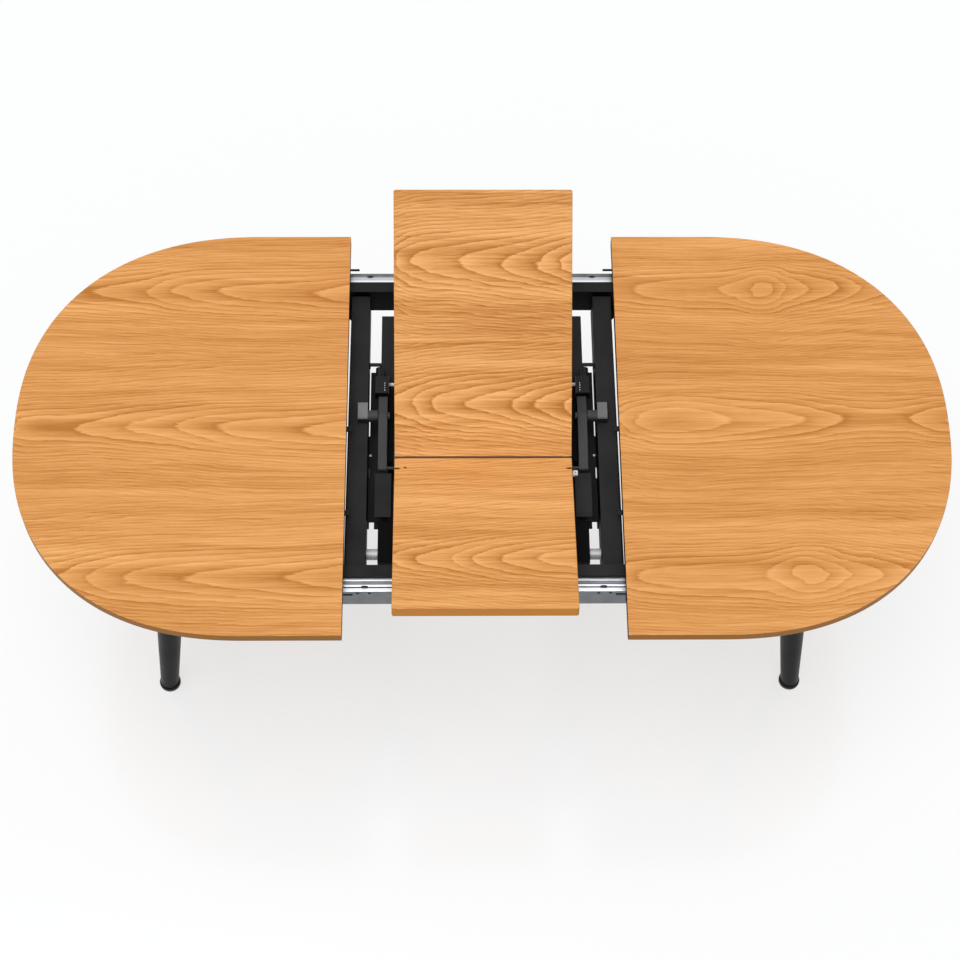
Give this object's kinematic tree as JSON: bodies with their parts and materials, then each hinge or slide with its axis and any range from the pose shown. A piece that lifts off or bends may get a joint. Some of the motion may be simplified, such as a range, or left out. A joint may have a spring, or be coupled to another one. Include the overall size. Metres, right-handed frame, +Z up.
{
  "type": "butterfly leaf extension table",
  "caption": "Oval dining table with two sliding top halves on ball-bearing slides, a two-wing folding leaf raised in the gap, a steel centre frame and splayed tapered legs.",
  "frame": {"origin": "floor level, under the middle of the table", "axes": "+X along the table to the right, +Y to the rear, +Z up"},
  "size_m": [2.04, 1, 1.053],
  "materials": {
    "top_veneer": "satin lacquered oak veneer",
    "leaf_veneer": "satin lacquered oak veneer",
    "leg_black": "satin black",
    "foot_gloss": "gloss black",
    "frame_black": "fine matt black powder coat",
    "arm_grey": "dark grey enamel",
    "slide_zinc": "bright zinc plate",
    "pin_zinc": "zinc plate",
    "damper_black": "satin black moulding",
    "black_plastic": "black moulded",
    "hinge_brass": "plain",
    "buffer_rubber": "matt black"
  },
  "bodies": {
    "centre_frame": {"front_rail": "frame_black", "rear_rail": "frame_black", "rail_caps": "black_plastic", "left_cross_tube": "frame_black", "right_cross_tube": "frame_black", "left_side_bar": "frame_black", "right_side_bar": "frame_black", "left_pivot_lug": "arm_grey", "right_pivot_lug": "arm_grey", "pivot_pins": "pin_zinc", "bridge_brackets": "frame_black", "spacers": "pin_zinc", "leaf_buffers": "buffer_rubber", "leaf_dampers": "damper_black", "stow_shelves": "frame_black", "left_slide_outer_front": "slide_zinc", "left_slide_outer_rear": "slide_zinc", "right_slide_outer_front": "slide_zinc", "right_slide_outer_rear": "slide_zinc"},
    "left_half": {"left_top_panel": "top_veneer", "left_edge_tabs": "frame_black", "left_leg_plates": "frame_black", "left_leg_beam": "frame_black", "left_leg_front": "leg_black", "left_leg_rear": "leg_black", "left_foot_front": "foot_gloss", "left_foot_rear": "foot_gloss", "left_slide_inner_front": "slide_zinc", "left_slide_inner_rear": "slide_zinc", "left_slide_angle_front": "frame_black", "left_slide_angle_rear": "frame_black", "left_slide_levers": "black_plastic"},
    "left_slide_mids": {"left_slide_mid_front": "slide_zinc", "left_slide_mid_rear": "slide_zinc", "left_ball_retainers": "slide_zinc"},
    "right_half": {"right_top_panel": "top_veneer", "right_edge_tabs": "frame_black", "right_leg_plates": "frame_black", "right_leg_beam": "frame_black", "right_leg_front": "leg_black", "right_leg_rear": "leg_black", "right_foot_front": "foot_gloss", "right_foot_rear": "foot_gloss", "right_slide_inner_front": "slide_zinc", "right_slide_inner_rear": "slide_zinc", "right_slide_angle_front": "frame_black", "right_slide_angle_rear": "frame_black", "right_slide_levers": "black_plastic"},
    "right_slide_mids": {"right_slide_mid_front": "slide_zinc", "right_slide_mid_rear": "slide_zinc", "right_ball_retainers": "slide_zinc"},
    "swing_arms": {"left_swing_arm": "arm_grey", "right_swing_arm": "arm_grey", "leaf_pins": "pin_zinc"},
    "front_wing": {"front_leaf_panel": "leaf_veneer", "front_hinge_barrels": "hinge_brass", "left_front_bracket": "frame_black", "right_front_bracket": "frame_black"},
    "rear_wing": {"rear_leaf_panel": "leaf_veneer", "rear_hinge_barrels": "hinge_brass"}
  },
  "joints": [
    {"name": "left_half_slide", "type": "slide", "parent": "centre_frame", "child": "left_half", "axis": [-1, 0, 0], "range_m": [-0.105, 0.03]},
    {"name": "left_mid_slide", "type": "slide", "parent": "centre_frame", "child": "left_slide_mids", "axis": [-1, 0, 0], "range_m": [-0.0525, 0.015]},
    {"name": "right_half_slide", "type": "slide", "parent": "centre_frame", "child": "right_half", "axis": [1, 0, 0], "range_m": [-0.105, 0.03]},
    {"name": "right_mid_slide", "type": "slide", "parent": "centre_frame", "child": "right_slide_mids", "axis": [1, 0, 0], "range_m": [-0.0525, 0.015]},
    {"name": "arm_pivot", "type": "hinge", "parent": "centre_frame", "child": "swing_arms", "pos_m": [0, 0.048, 0.711], "axis": [1, 0, 0], "range_deg": [-8, 18.67]},
    {"name": "front_wing_hinge", "type": "hinge", "parent": "swing_arms", "child": "front_wing", "pos_m": [0, -0.07521, 0.69671], "axis": [1, 0, 0], "range_deg": [-51.34, 22]},
    {"name": "rear_wing_hinge", "type": "hinge", "parent": "front_wing", "child": "rear_wing", "pos_m": [0, -0.0665, 0.73164], "axis": [1, 0, 0], "range_deg": [-48, 112]}
  ],
  "couplings": [
    {"joint": "left_mid_slide", "follows": "left_half_slide", "ratio": 0.5},
    {"joint": "right_mid_slide", "follows": "right_half_slide", "ratio": 0.5},
    {"joint": "arm_pivot", "follows": "rear_wing_hinge", "ratio": 0.16667},
    {"joint": "front_wing_hinge", "follows": "rear_wing_hinge", "ratio": -0.45833}
  ]
}
